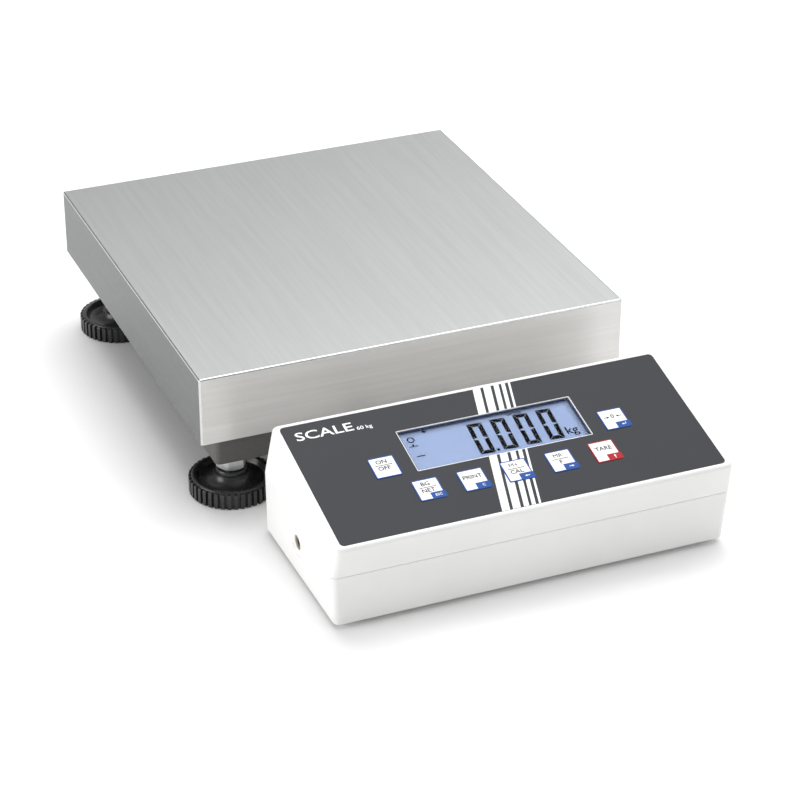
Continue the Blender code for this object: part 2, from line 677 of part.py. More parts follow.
def main():
    for thing in list(bpy.data.objects):
        bpy.data.objects.remove(thing)

    stainless = finish("brushed stainless", (0.62, 0.63, 0.62), 0.35, 1.0)
    paint = finish("dark powder coat", (0.06, 0.062, 0.065), 0.6)
    black = finish("black plastic", (0.015, 0.015, 0.016), 0.5)
    zinc = finish("zinc plate", (0.55, 0.56, 0.58), 0.4, 1.0)
    aluminium = finish("milled aluminium", (0.75, 0.76, 0.78), 0.35, 1.0)
    rubber = finish("black rubber", (0.02, 0.02, 0.02), 0.8)
    glass = finish("level glass", (0.75, 0.85, 0.25), 0.1, 0.0, 0.6)
    case_plastic = finish("white plastic", (0.86, 0.86, 0.85), 0.45)
    foil = finish("grey overlay", (0.09, 0.095, 0.105), 0.4)
    key_white = finish("key white", (0.88, 0.89, 0.9), 0.4)
    key_red = finish("key white with red edge", (0.9, 0.86, 0.86), 0.4)
    clear = finish("clear window", (0.9, 0.93, 0.95), 0.05, 0.0, 0.25)
    lcd = finish("blue display", (0.3, 0.5, 0.75), 0.3)
    board = finish("circuit board", (0.02, 0.16, 0.07), 0.5)
    brass = finish("brass", (0.72, 0.52, 0.25), 0.35, 1.0)

    platform = empty("platform", None, at(PLATE_X, PLATE_Y))
    case_place = at(PLATE_X + INDICATOR_OFFSET, PLATE_Y - PLATE_DEPTH / 2 - INDICATOR_REACH)
    indicator = empty("indicator", None, case_place)
    panel = empty("panel", indicator, PANEL_FRAME)

    make_base_frame(platform, paint)
    make_feet(platform, black, zinc)
    make_load_cell(platform, aluminium, zinc)
    make_carrier(platform, zinc, rubber)
    make_stops(platform, zinc)
    make_level(platform, black, glass)
    piece("base_cable_gland", black, platform, moved(gland_shape(0.0125), gland_frame()))
    make_plate(platform, stainless)
    make_lower_shell(indicator, case_plastic)
    make_upper_shell(indicator, case_plastic)
    make_panel(panel, foil, key_white, key_red, clear, lcd, board)
    make_case_parts(indicator, brass, rubber, zinc, black, board)


main()
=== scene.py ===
import json
import math

import bpy
from mathutils import Matrix, Vector

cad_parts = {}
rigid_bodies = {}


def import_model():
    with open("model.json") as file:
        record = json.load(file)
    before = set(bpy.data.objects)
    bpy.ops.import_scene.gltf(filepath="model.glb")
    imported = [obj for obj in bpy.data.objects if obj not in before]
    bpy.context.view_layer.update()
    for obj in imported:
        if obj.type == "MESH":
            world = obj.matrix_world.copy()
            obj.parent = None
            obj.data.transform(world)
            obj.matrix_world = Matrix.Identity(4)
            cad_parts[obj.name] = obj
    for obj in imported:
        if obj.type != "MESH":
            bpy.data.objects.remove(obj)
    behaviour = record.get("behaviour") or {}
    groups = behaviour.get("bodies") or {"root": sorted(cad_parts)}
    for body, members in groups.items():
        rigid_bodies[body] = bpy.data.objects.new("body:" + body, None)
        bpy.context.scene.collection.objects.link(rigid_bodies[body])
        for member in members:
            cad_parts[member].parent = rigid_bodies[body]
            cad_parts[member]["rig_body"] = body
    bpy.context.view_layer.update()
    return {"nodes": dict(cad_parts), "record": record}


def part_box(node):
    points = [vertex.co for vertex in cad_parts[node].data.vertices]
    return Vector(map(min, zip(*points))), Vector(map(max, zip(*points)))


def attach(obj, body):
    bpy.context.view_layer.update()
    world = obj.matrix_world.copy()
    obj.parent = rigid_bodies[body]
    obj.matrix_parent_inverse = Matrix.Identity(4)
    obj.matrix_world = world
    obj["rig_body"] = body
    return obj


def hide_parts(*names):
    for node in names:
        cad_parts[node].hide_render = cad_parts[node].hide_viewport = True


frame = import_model()


def onlyThis(obj):
    bpy.ops.object.select_all(action="DESELECT")
    obj.select_set(True)
    bpy.context.view_layer.objects.active = obj


def pick(obj, kind, rule):
    # edit mode on obj, with the faces or edges that the rule wants
    onlyThis(obj)
    bpy.ops.object.mode_set(mode="EDIT")
    bpy.ops.mesh.select_mode(type=kind)
    bpy.ops.mesh.select_all(action="DESELECT")
    bpy.ops.object.mode_set(mode="OBJECT")
    mesh = obj.data
    if kind == "FACE":
        for face in mesh.polygons:
            face.select = rule(face.center, face.normal)
    else:
        for edge in mesh.edges:
            start, end = (mesh.vertices[index].co for index in edge.vertices)
            edge.select = rule((start + end) / 2, (end - start).normalized())
    bpy.ops.object.mode_set(mode="EDIT")


def backToObject():
    bpy.ops.object.mode_set(mode="OBJECT")


def freshPiece(name):
    # the primitive just added, with its place and size put into its mesh
    obj = bpy.context.object
    obj.name = name
    obj.data.name = name
    bpy.ops.object.transform_apply(location=True, rotation=True, scale=True)
    return obj


def block(name, low, high):
    low, high = Vector(low), Vector(high)
    bpy.ops.object.select_all(action="DESELECT")
    bpy.ops.mesh.primitive_cube_add(size=1, location=(low + high) / 2)
    bpy.context.object.scale = high - low
    return freshPiece(name)


def slab(name, centre, size, low, high, corner, segments=6):
    # a flat block with round corners, lying in the XY plane
    x, y = centre
    halfX, halfY = size[0] / 2, size[1] / 2
    obj = block(name, (x - halfX, y - halfY, low), (x + halfX, y + halfY, high))
    pick(obj, "EDGE", lambda middle, along: abs(along.z) > 0.9)
    bpy.ops.mesh.bevel(offset=corner, segments=segments, affect="EDGES")
    backToObject()
    return obj


def turned(name, profile, segments=48):
    # a turned solid on the Z axis, from its lower middle up the outside; (radius, height) pairs
    radius, height = profile[0]
    bpy.ops.object.select_all(action="DESELECT")
    bpy.ops.mesh.primitive_circle_add(vertices=segments, radius=radius, fill_type="NGON",
                                      location=(0, 0, height))
    obj = freshPiece(name)
    bpy.ops.object.mode_set(mode="EDIT")
    bpy.ops.mesh.select_mode(type="FACE")
    bpy.ops.mesh.select_all(action="SELECT")
    for nextRadius, nextHeight in profile[1:]:
        bpy.ops.mesh.extrude_region_move(TRANSFORM_OT_translate={"value": (0, 0, nextHeight - height)})
        grow = nextRadius / radius
        bpy.ops.transform.resize(value=(grow, grow, 1), center_override=(0, 0, nextHeight))
        radius, height = nextRadius, nextHeight
    bpy.ops.mesh.select_all(action="SELECT")
    bpy.ops.mesh.normals_make_consistent(inside=False)
    backToObject()
    return obj


def put(obj, matrix):
    # move or turn a piece, with its place kept in its mesh
    onlyThis(obj)
    obj.matrix_world = matrix
    bpy.ops.object.transform_apply(location=True, rotation=True, scale=True)
    return obj


def copyOf(obj, name, matrix=Matrix.Identity(4)):
    twin = obj.copy()
    twin.data = obj.data.copy()
    twin.name = name
    twin.data.name = name
    bpy.context.scene.collection.objects.link(twin)
    return put(twin, matrix)


def joined(name, parts):
    onlyThis(parts[0])
    for part in parts:
        part.select_set(True)
    if len(parts) > 1:
        bpy.ops.object.join()
    obj = bpy.context.object
    obj.name = name
    obj.data.name = name
    return obj


def applied(obj, kind, **settings):
    # add a modifier, set it and apply it
    onlyThis(obj)
    modifier = obj.modifiers.new(kind.lower(), kind)
    for key, value in settings.items():
        setattr(modifier, key, value)
    bpy.ops.object.modifier_apply(modifier=modifier.name)


def combine(obj, operation, *others):
    for other in others:
        applied(obj, "BOOLEAN", operation=operation, object=other, solver="EXACT")
        bpy.data.objects.remove(other)


def softEdges(obj, width, segments=2, above=50):
    applied(obj, "BEVEL", width=width, segments=segments, limit_method="ANGLE",
            angle_limit=math.radians(above), use_clamp_overlap=False)


def smooth(obj, angle=32):
    onlyThis(obj)
    bpy.ops.object.shade_smooth_by_angle(angle=math.radians(angle))
    applied(obj, "WEIGHTED_NORMAL", keep_sharp=True, weight=80)


def wear(obj, *materials):
    obj.data.materials.clear()
    for material in materials:
        obj.data.materials.append(material)


def giveFaces(obj, slotIndex, rule):
    pick(obj, "FACE", rule)
    obj.active_material_index = slotIndex
    bpy.ops.object.material_slot_assign()
    backToObject()


def ready(obj, body, slotName, *nodes):
    # the piece rides on its body and stands for its CAD nodes
    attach(obj, body)
    if nodes:
        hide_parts(*nodes)
    return obj


def finerCopy(node, name, width, segments=2, above=40):
    # a copy of a CAD node with its loose triangles merged and its edges softened
    obj = copyOf(frame["nodes"][node], name)
    for key in list(obj.keys()):
        del obj[key]
    obj.parent = None
    pick(obj, "FACE", lambda centre, facing: True)
    bpy.ops.mesh.remove_doubles(threshold=0.00001)
    bpy.ops.mesh.dissolve_limited(angle_limit=math.radians(0.5))
    backToObject()
    if width:
        softEdges(obj, width, segments, above)
    return obj


def linear(code):
    # a colour such as 56585c as the numbers that a shader takes
    parts = [int(code[k:k + 2], 16) / 255 for k in (0, 2, 4)]
    return [p / 12.92 if p <= 0.04045 else ((p + 0.055) / 1.055) ** 2.4 for p in parts]


class Finish:
    # a Principled material with helpers for its patterns
    def __init__(self, name, code, roughness, metallic=0.0):
        self.material = bpy.data.materials.new(name)
        self.material.use_nodes = True
        self.tree = self.material.node_tree
        self.shader = self.tree.nodes["Principled BSDF"]
        self.colour = linear(code)
        self.set("Base Color", (*self.colour, 1))
        self.set("Roughness", roughness)
        self.set("Metallic", metallic)
        self.place = self.tree.nodes.new("ShaderNodeTexCoord").outputs["Object"]
        self.lastBump = None

    def set(self, socket, value):
        self.shader.inputs[socket].default_value = value

    def link(self, source, target):
        self.tree.links.new(source, target)

    def stretched(self, stretch):
        node = self.tree.nodes.new("ShaderNodeMapping")
        node.inputs["Scale"].default_value = stretch
        self.link(self.place, node.inputs["Vector"])
        return node.outputs["Vector"]

    def noise(self, scale, detail=3.0, stretch=(1, 1, 1), rough=0.5):
        node = self.tree.nodes.new("ShaderNodeTexNoise")
        node.inputs["Scale"].default_value = scale
        node.inputs["Detail"].default_value = detail
        node.inputs["Roughness"].default_value = rough
        self.link(self.stretched(stretch), node.inputs["Vector"])
        return node.outputs["Fac"]

    def spread(self, value, low, high, fromLow=0.3, fromHigh=0.7):
        node = self.tree.nodes.new("ShaderNodeMapRange")
        ends = {"From Min": fromLow, "From Max": fromHigh, "To Min": low, "To Max": high}
        for socket, number in ends.items():
            node.inputs[socket].default_value = number
        self.link(value, node.inputs["Value"])
        return node.outputs["Result"]

    def shades(self, value, dark, light, fromLow=0.3, fromHigh=0.7):
        node = self.tree.nodes.new("ShaderNodeMix")
        node.data_type = "RGBA"
        node.inputs["A"].default_value = (*[c * dark for c in self.colour], 1)
        node.inputs["B"].default_value = (*[min(c * light, 1) for c in self.colour], 1)
        self.link(self.spread(value, 0, 1, fromLow, fromHigh), node.inputs["Factor"])
        self.link(node.outputs["Result"], self.shader.inputs["Base Color"])
        return self

    def gloss(self, value, low, high):
        self.link(self.spread(value, low, high), self.shader.inputs["Roughness"])
        return self

    def bump(self, value, strength, depth):
        node = self.tree.nodes.new("ShaderNodeBump")
        node.inputs["Strength"].default_value = strength
        node.inputs["Distance"].default_value = depth
        self.link(value, node.inputs["Height"])
        if self.lastBump:
            self.link(self.lastBump, node.inputs["Normal"])
        self.lastBump = node.outputs["Normal"]
        self.link(self.lastBump, self.shader.inputs["Normal"])
        return self


def brushedSteel(name, code, stretch, roughness, turn):
    # fine lines along the axis with the small stretch, over broad soft bands
    steel = Finish(name, code, roughness, 1.0)
    lines = steel.noise(1, 4, [s * 110 for s in stretch], 0.7)
    bands = steel.noise(1, 2, [s * 9 for s in stretch])
    steel.shades(bands, 0.965, 1.03).gloss(lines, roughness - 0.05, roughness + 0.07)
    steel.bump(lines, 0.10, 0.0002)
    steel.set("Anisotropic", 0.75)
    steel.set("Anisotropic Rotation", turn)
    across = steel.tree.nodes.new("ShaderNodeTangent")
    across.direction_type = "UV_MAP"
    across.uv_map = "brushing"
    steel.link(across.outputs["Tangent"], steel.shader.inputs["Tangent"])
    return steel.material


def bentSteel():
    # the folds, rubbed smoother than the sheet
    steel = Finish("brushedSteelFold", "cdcecd", 0.22, 1.0)
    rub = steel.noise(500, 3)
    steel.shades(rub, 0.95, 1.03).gloss(rub, 0.16, 0.26).bump(rub, 0.04, 0.0001)
    return steel.material


def powderCoat():
    coat = Finish("darkPowderCoat", "545351", 0.5)
    speck = coat.noise(2600, 2)
    coat.shades(speck, 0.72, 1.5).gloss(coat.noise(900, 2), 0.45, 0.68)
    coat.bump(speck, 0.35, 0.0003)
    return coat.material


def moulded(name, code, roughness, grain=3500, strength=0.12, cloud=0.02):
    # moulded plastic: fine spark-eroded grain and a trace of unevenness
    plastic = Finish(name, code, roughness)
    plastic.shades(plastic.noise(14, 3), 1 - cloud, 1 + cloud)
    grainy = plastic.noise(grain, 2)
    plastic.gloss(grainy, roughness - 0.06, roughness + 0.06)
    plastic.bump(grainy, strength, 0.0001)
    return plastic.material


def plated(name, code, roughness=0.32):
    # zinc or nickel plate: soft cloudy shades and light handling marks
    metal = Finish(name, code, roughness, 1.0)
    metal.shades(metal.noise(120, 4), 0.82, 1.08)
    metal.gloss(metal.noise(700, 4), roughness - 0.08, roughness + 0.12)
    metal.bump(metal.noise(1800, 2), 0.08, 0.0001)
    return metal.material


def galvanised():
    sheet = Finish("galvanisedSheet", "b9bdc0", 0.42, 1.0)
    cells = sheet.tree.nodes.new("ShaderNodeTexVoronoi")
    cells.inputs["Scale"].default_value = 95
    sheet.link(sheet.place, cells.inputs["Vector"])
    split = sheet.tree.nodes.new("ShaderNodeSeparateColor")
    sheet.link(cells.outputs["Color"], split.inputs["Color"])
    sheet.shades(split.outputs["Red"], 0.72, 1.05, 0, 1)
    sheet.link(sheet.spread(split.outputs["Green"], 0.3, 0.5, 0, 1), sheet.shader.inputs["Roughness"])
    return sheet.material


def milledAluminium():
    metal = Finish("milledAluminium", "c9ccd0", 0.3, 1.0)
    passes = metal.noise(1, 3, (900, 12, 900))
    metal.shades(metal.noise(40, 3), 0.9, 1.04).gloss(passes, 0.24, 0.4)
    metal.bump(passes, 0.15, 0.0001)
    return metal.material


def rubber():
    soft = Finish("blackRubber", "1b1b1c", 0.8)
    soft.shades(soft.noise(300, 4), 0.75, 1.35).bump(soft.noise(2600, 3), 0.3, 0.0002)
    return soft.material


def levelLiquid():
    liquid = Finish("levelLiquid", "b9d23a", 0.06)
    liquid.shades(liquid.noise(160, 2), 0.92, 1.06)
    liquid.set("Alpha", 0.55)
    liquid.set("Coat Weight", 1.0)
    return liquid.material


def foil(name, code, roughness=0.42, shine=0.5):
    # printed polyester foil with a fine matt texture
    film = Finish(name, code, roughness)
    film.set("Specular IOR Level", shine)
    fine = film.noise(5200, 2)
    film.shades(film.noise(22, 2), 0.985, 1.015).gloss(fine, roughness - 0.05, roughness + 0.06)
    film.bump(fine, 0.05, 0.00005)
    return film.material


def clearFoil():
    film = Finish("clearFoil", "16181b", 0.08)
    film.gloss(film.noise(300, 2), 0.05, 0.12)
    film.set("Alpha", 0.05)
    return film.material


def displayGlass(middle, halfWidth, halfHeight):
    # backlit blue, with painted shade along the back and right edges where the wall's shadow falls; middle
    # is the display's own frame
    glass = Finish("displayGlass", "87a0cf", 0.35)
    flat = glass.tree.nodes.new("ShaderNodeMapping")
    flat.vector_type = "TEXTURE"
    flat.inputs["Location"].default_value = middle.to_translation()
    flat.inputs["Rotation"].default_value = middle.to_euler()
    glass.link(glass.place, flat.inputs["Vector"])
    split = glass.tree.nodes.new("ShaderNodeSeparateXYZ")
    glass.link(flat.outputs["Vector"], split.inputs["Vector"])
    atBack = glass.spread(split.outputs["Y"], 1.0, 0.0, halfHeight - 0.0052, halfHeight - 0.0004)
    paintedShadeOnRight = glass.spread(split.outputs["X"], 1.0, 0.0, halfWidth - 0.0052, halfWidth - 0.0006)
    paintedShadeMask = glass.tree.nodes.new("ShaderNodeMath")
    paintedShadeMask.operation = "MULTIPLY"
    glass.link(atBack, paintedShadeMask.inputs[0])
    glass.link(paintedShadeOnRight, paintedShadeMask.inputs[1])
    # painted shade: darker towards the back and right edges
    glass.shades(paintedShadeMask.outputs["Value"], 0.42, 1.0, 0, 1)
    glass.gloss(glass.noise(30, 2), 0.3, 0.4)
    return glass.material


def laminate():
    # green solder mask over copper tracks
    board = Finish("circuitBoard", "1c5a34", 0.35)
    tracks = board.tree.nodes.new("ShaderNodeTexBrick")
    tracks.inputs["Scale"].default_value = 160
    tracks.inputs["Mortar Size"].default_value = 0.06
    board.link(board.place, tracks.inputs["Vector"])
    board.shades(tracks.outputs["Fac"], 0.8, 1.5, 0, 1).bump(tracks.outputs["Fac"], 0.4, 0.00005)
    return board.material


# one stainless sheet in three copies: the brushing direction really differs, but the side copy is darkened
# as painted shade and the front copy is made a little lighter as painted light
steelTop = brushedSteel("brushedSteelTop", "d2d4d3", (40, 1.2, 40), 0.33, 0.0)
steelFrontPaintedLight = brushedSteel("brushedSteelFrontPaintedLight", "dddcda", (1.2, 40, 40), 0.42, 0.25)
steelSidePaintedShade = brushedSteel("brushedSteelSidePaintedShade", "7b7c7c", (40, 1.2, 40), 0.40, 0.25)
steelFold = bentSteel()
coatFinish = powderCoat()
blackFinish = moulded("blackPlastic", "303031", 0.28, 1600, 0.08, 0.08)
zincFinish = plated("zincPlate", "f0f1f2", 0.36)
sheetFinish = galvanised()
cellFinish = milledAluminium()
rubberFinish = rubber()
liquidFinish = levelLiquid()
caseFinish = moulded("caseWhite", "f0f0ef", 0.42)
overlayFinish = foil("overlayGrey", "3b3c40", 0.45, 0.12)
whitePrint = foil("printWhite", "f7f8f8")
bluePrint = foil("printBlue", "174c9c", 0.45, 0.2)
redPrint = foil("printRed", "ac0c1c", 0.45, 0.2)
blackPrint = foil("printBlack", "060607", 0.5, 0.0)
legendPrint = foil("printLegend", "17181a", 0.5, 0.1)
windowFinish = clearFoil()
# the display's wall is real, but its colour is the display blue darkened as painted shade
wallPaintedShade = moulded("displayWall", "2c3f6a", 0.5)
boardFinish = laminate()
brassFinish = plated("brassInsert", "857a66", 0.4)
print("finishes made")


pan = {"bend": 0.0014, "sheet": 0.0015, "rim": 0.0003, "wider": 0.0006, "deeper": 0.001}
panLow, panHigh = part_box("weighing_plate")


def makePan():
    low = panLow - Vector((pan["wider"], 0, 0))
    high = panHigh + Vector((pan["wider"], pan["deeper"], 0))
    obj = block("weighingPan", low, high)
    pick(obj, "FACE", lambda centre, facing: facing.z < -0.9)
    bpy.ops.mesh.delete(type="FACE")
    backToObject()
    pick(obj, "EDGE", lambda middle, along: abs(along.z) > 0.9 or middle.z > panHigh.z - 1e-5)
    bpy.ops.mesh.bevel(offset=pan["bend"], segments=6, affect="EDGES")
    backToObject()
    applied(obj, "SOLIDIFY", thickness=pan["sheet"], offset=-1)
    softEdges(obj, pan["rim"], 2, 60)
    wear(obj, steelFold, steelTop, steelFrontPaintedLight, steelSidePaintedShade)
    # the sides take the painted-shade copy, the front and back take the painted-light copy
    for axis, slotIndex in ((0, 3), (1, 2), (2, 1)):
        giveFaces(obj, slotIndex, lambda centre, facing: abs(facing[axis]) > 0.995)
    pick(obj, "FACE", lambda centre, facing: True)
    bpy.ops.uv.cube_project(cube_size=0.1)
    backToObject()
    obj.data.uv_layers[0].name = "brushing"
    smooth(obj)
    ready(obj, "plate", "stainless", "weighing_plate")


makePan()
print("pan made")


def makeFrame():
    obj = finerCopy("base_frame", "baseFrame", 0.0005, 2)
    wear(obj, coatFinish)
    smooth(obj)
    ready(obj, "base", "powder_coat", "base_frame")


makeFrame()
print("frame made")


corners = ("front_left", "front_right", "rear_left", "rear_right")
foot = {"ribs": 40, "ribTop": 0.0114, "grooveWidth": 0.0021, "grooveDepth": 0.0020,
        "pitch": 0.00175, "threadDepth": 0.0007, "nutFlats": 0.019, "nutBore": 0.0061}


def footPlace(corner):
    low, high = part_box(f"foot_pad_{corner}")
    return Matrix.Translation(((low.x + high.x) / 2, (low.y + high.y) / 2, 0))


def makePad():
    low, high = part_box("foot_pad_front_left")
    radius = (high.x - low.x) / 2
    ring = radius - 0.0019
    profile = [
        (radius - 0.0005, 0), (radius, 0.0006), (radius, foot["ribTop"] - 0.0005),
        (radius - 0.0004, foot["ribTop"]), (ring, foot["ribTop"] + 0.0001),         # ribbed rim
        (ring - 0.0002, 0.0120), (ring - 0.0006, 0.0124), (ring - 0.0013, 0.0126),
        (ring - 0.0021, 0.0125), (ring - 0.0029, 0.0120), (ring - 0.0035, 0.0111),  # rounded ring
        (ring - 0.0041, 0.0088), (ring - 0.0052, 0.0079), (0.0190, 0.0080),         # dish
        (0.0155, 0.0094), (0.0130, 0.0118), (0.0122, 0.0140), (0.0120, 0.0147),
        (0.0106, 0.0150), (0.0104, 0.0166), (0.0099, 0.0173), (0.0062, 0.0173), (0.0062, 0.0038),   # hub
    ]
    obj = turned("footPad", profile, 160)
    inner = radius - foot["grooveDepth"]
    half = foot["grooveWidth"] / 2
    groove = block("groove", (inner, -half, -0.001), (radius + 0.002, half, foot["ribTop"] + 0.0003))
    turns = [copyOf(groove, f"groove{k}", Matrix.Rotation(2 * math.pi * k / foot["ribs"], 4, "Z"))
             for k in range(foot["ribs"])]
    bpy.data.objects.remove(groove)
    combine(obj, "DIFFERENCE", joined("grooves", turns))
    wear(obj, blackFinish)
    smooth(obj, 40)
    return obj


def makeStud():
    low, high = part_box("foot_stud_front_left")
    radius = (high.x - low.x) / 2
    profile = [(radius - foot["threadDepth"], low.z)]
    height = low.z + foot["pitch"] / 2
    while height < high.z - foot["pitch"]:
        profile.append((radius, height))
        profile.append((radius - foot["threadDepth"], height + foot["pitch"] / 2))
        height += foot["pitch"]
    profile.append((radius - foot["threadDepth"], high.z))
    obj = turned("footStud", profile, 32)
    wear(obj, zincFinish)
    smooth(obj, 20)
    return obj


def hexNut(name, flats, low, high, bore):
    # a hexagon trimmed by the chamfers of both faces
    reach = flats / math.sqrt(3)
    bpy.ops.object.select_all(action="DESELECT")
    bpy.ops.mesh.primitive_cylinder_add(vertices=6, radius=reach, depth=high - low,
                                        location=(0, 0, (low + high) / 2))
    obj = freshPiece(name)
    drop = (reach - flats / 2 + 0.0003) * math.tan(math.radians(30))
    rim = flats / 2 - 0.0003
    past = reach + 0.0001
    trim = turned("trim", [(rim, low), (past, low + drop), (past, high - drop), (rim, high)])
    combine(obj, "INTERSECT", trim)
    if bore:
        combine(obj, "DIFFERENCE", turned("bore", [(bore, low - 0.001), (bore, high + 0.001)]))
    softEdges(obj, 0.00015, 2, 25)
    wear(obj, zincFinish)
    smooth(obj, 40)
    return obj


def makeFeet():
    pad = makePad()
    stud = makeStud()
    low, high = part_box("foot_nut_front_left")
    nut = hexNut("footNut", foot["nutFlats"], low.z, high.z, foot["nutBore"])
    for index, corner in enumerate(corners):
        place = footPlace(corner)
        turn = Matrix.Rotation(math.radians(30 + 23 * index), 4, "Z")
        side = corner.title().replace("_", "")
        ready(copyOf(pad, "footPad" + side, place), "pad_" + corner, "black_plastic", "foot_pad_" + corner)
        ready(copyOf(stud, "footStud" + side, place), "stud_" + corner, "zinc_steel", "foot_stud_" + corner)
        ready(copyOf(nut, "footNut" + side, place @ turn), "base", "zinc_steel", "foot_nut_" + corner)
    for obj in (pad, stud, nut):
        bpy.data.objects.remove(obj)


makeFeet()
print("feet made")


insideParts = {
    "load_cell": (cellFinish, 0.0005), "lower_spacer": (zincFinish, 0.0004),
    "upper_spacer": (zincFinish, 0.0004), "carrier_plate": (sheetFinish, 0.0005),
    "lower_bolt_inner": (zincFinish, 0.0002), "lower_bolt_outer": (zincFinish, 0.0002),
    "upper_bolt_inner": (zincFinish, 0.0002), "upper_bolt_outer": (zincFinish, 0.0002),
    "level_housing": (blackFinish, 0.0002), "base_cable_gland": (blackFinish, 0.0002),
}
for corner in corners:
    insideParts["plate_buffer_" + corner] = (rubberFinish, 0.0003)
    insideParts["overload_stop_" + corner] = (zincFinish, 0.0002)
    insideParts["indicator_foot_" + corner] = (rubberFinish, 0.0002)
    insideParts["case_screw_" + corner] = (zincFinish, 0.0002)
insideParts["power_jack"] = (blackFinish, 0.0002)
insideParts["data_port"] = (zincFinish, 0.0002)
insideParts["indicator_cable_gland"] = (blackFinish, 0.0002)
insideParts["side_insert_left"] = (brassFinish, 0.0002)
insideParts["side_insert_right"] = (brassFinish, 0.0002)

bodyOf = {node: obj["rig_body"] for node, obj in frame["nodes"].items()}
slotOf = {row["node"]: row["material_slot"] for row in frame["record"]["subparts"]}


def makeInsideParts():
    for node, (material, width) in insideParts.items():
        first, *others = node.split("_")
        obj = finerCopy(node, first + "".join(word.title() for word in others), width)
        wear(obj, material)
        smooth(obj)
        ready(obj, bodyOf[node], slotOf[node], node)


makeInsideParts()
plainNodes = {"level_vial": liquidFinish, "main_board": boardFinish, "display_board": boardFinish}
for node, material in plainNodes.items():
    wear(frame["nodes"][node], material)
print("inside parts made")


case = {
    # front and back of each level, as (distance back from the front edge, height)
    "parting": ((-0.0013, 0.0393), (0.1213, 0.0514)),
    "top": ((-0.0069, 0.0629), (0.1096, 0.0898)),
    "bottom": ((0.0, 0.0034), (0.127, 0.0034)),
    "halfWidth": {"bottom": 0.137, "parting": 0.1396, "top": 0.13775},
    "corner": 0.0045, "edge": 0.0025, "lowEdge": 0.0012, "wall": 0.0022, "gap": 0.00015, "groove": 0.0003,
    "recess": 0.0010, "insertHole": 0.0051, "ringMark": 0.0104, "ringDepth": 0.00018,
}
shellLow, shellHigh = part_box("lower_shell")
caseFrame = Matrix.Translation(((shellLow.x + shellHigh.x) / 2, shellLow.y - case["parting"][0][0], 0))
topRun = case["top"][1][0] - case["top"][0][0]
topRise = case["top"][1][1] - case["top"][0][1]
tilt = math.atan2(topRise, topRun)
topMiddle = ((case["top"][0][0] + case["top"][1][0]) / 2, (case["top"][0][1] + case["top"][1][1]) / 2)
panelFrame = caseFrame @ Matrix.Translation((0, *topMiddle)) @ Matrix.Rotation(tilt, 4, "X")
panelSize = (0.267, 0.1119)


def taperedBlock(name, lower, upper):
    # a block whose lower and upper faces are two of the case's levels
    bpy.ops.object.select_all(action="DESELECT")
    bpy.ops.mesh.primitive_cube_add(size=2)
    obj = freshPiece(name)
    for vert in obj.data.vertices:
        level = upper if vert.co.z > 0 else lower
        y, z = case[level][1 if vert.co.y > 0 else 0]
        vert.co = (math.copysign(case["halfWidth"][level], vert.co.x), y, z)
    pick(obj, "EDGE", lambda middle, along: abs(along.z) > 0.8)
    bpy.ops.mesh.bevel(offset=case["corner"], segments=8, affect="EDGES")
    backToObject()
    return obj


def onPanel(place):
    # a place in the world as a place on the panel
    return panelFrame.inverted() @ Vector(place)


def nodeOnPanel(node):
    low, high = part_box(node)
    place = onPanel((low + high) / 2)
    return place.x, ((low.y + high.y) / 2 - panelFrame.translation.y) / math.cos(tilt)


def backHoles():
    # cutters for the sockets in the back wall, a little wider than what goes through
    cutters = []
    for node, spare in (("power_jack", -0.0016), ("indicator_cable_gland", -0.0026)):
        low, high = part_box(node)
        half = (high.x - low.x) / 2 + spare
        middle = (low + high) / 2
        hole = turned("hole", [(half, -0.012), (half, 0.012)], 40)
        lean = Matrix.Rotation(math.radians(-83), 4, "X")
        cutters.append(put(hole, Matrix.Translation((middle.x, middle.y, middle.z)) @ lean))
    low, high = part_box("data_port")
    middle = (low + high) / 2
    cutters.append(block("hole", (middle.x - 0.0098, low.y - 0.005, middle.z - 0.0052),
                         (middle.x + 0.0098, high.y + 0.01, middle.z + 0.0048)))
    return cutters


def makeLowerShell():
    obj = taperedBlock("lowerShell", "bottom", "parting")
    bottom = case["bottom"][0][1]
    pick(obj, "EDGE", lambda middle, along: abs(middle.z - bottom) < 1e-5)
    bpy.ops.mesh.bevel(offset=case["lowEdge"], segments=4, affect="EDGES")
    backToObject()
    pick(obj, "FACE", lambda centre, facing: facing.z > 0.8)
    bpy.ops.mesh.delete(type="FACE")
    backToObject()
    applied(obj, "SOLIDIFY", thickness=case["wall"], offset=-1)
    put(obj, caseFrame)
    holes = backHoles()
    for side, node in ((-1, "side_insert_left"), (1, "side_insert_right")):
        low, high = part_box(node)
        middle = (low + high) / 2
        outward = Matrix.Translation(middle) @ Matrix.Rotation(side * math.pi / 2, 4, "Y")
        bore = case["insertHole"]
        holes.append(put(turned("hole", [(bore, -0.02), (bore, 0.02)], 40), outward))
        wallLean = math.atan2(0.0026, 0.0421)
        wallAt = Matrix.Translation((caseFrame.translation.x + side * 0.13865, middle.y, middle.z))
        bpy.ops.object.select_all(action="DESELECT")
        bpy.ops.mesh.primitive_torus_add(major_radius=case["ringMark"], minor_radius=case["ringDepth"],
                                         major_segments=72, minor_segments=6)
        faceOut = Matrix.Rotation(side * (math.pi / 2 + wallLean), 4, "Y")
        holes.append(put(freshPiece("mark"), wallAt @ faceOut))
    for corner in corners:
        low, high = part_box("case_screw_" + corner)
        sink = turned("hole", [(0.004, 0.001), (0.004, 0.0062), (0.002, 0.0062), (0.002, 0.012)], 32)
        holes.append(put(sink, Matrix.Translation(((low.x + high.x) / 2, (low.y + high.y) / 2, 0))))
    combine(obj, "DIFFERENCE", *holes)
    softEdges(obj, case["groove"], 2, 60)
    wear(obj, caseFinish)
    smooth(obj)
    ready(obj, "indicator", "case_plastic", "lower_shell")


display = {
    "outline": (0.1234, 0.0388), "hole": (0.1222, 0.0376), "corner": 0.0008, "border": 0.00042,
    "wallBottom": -0.0030, "glass": -0.0022,
}


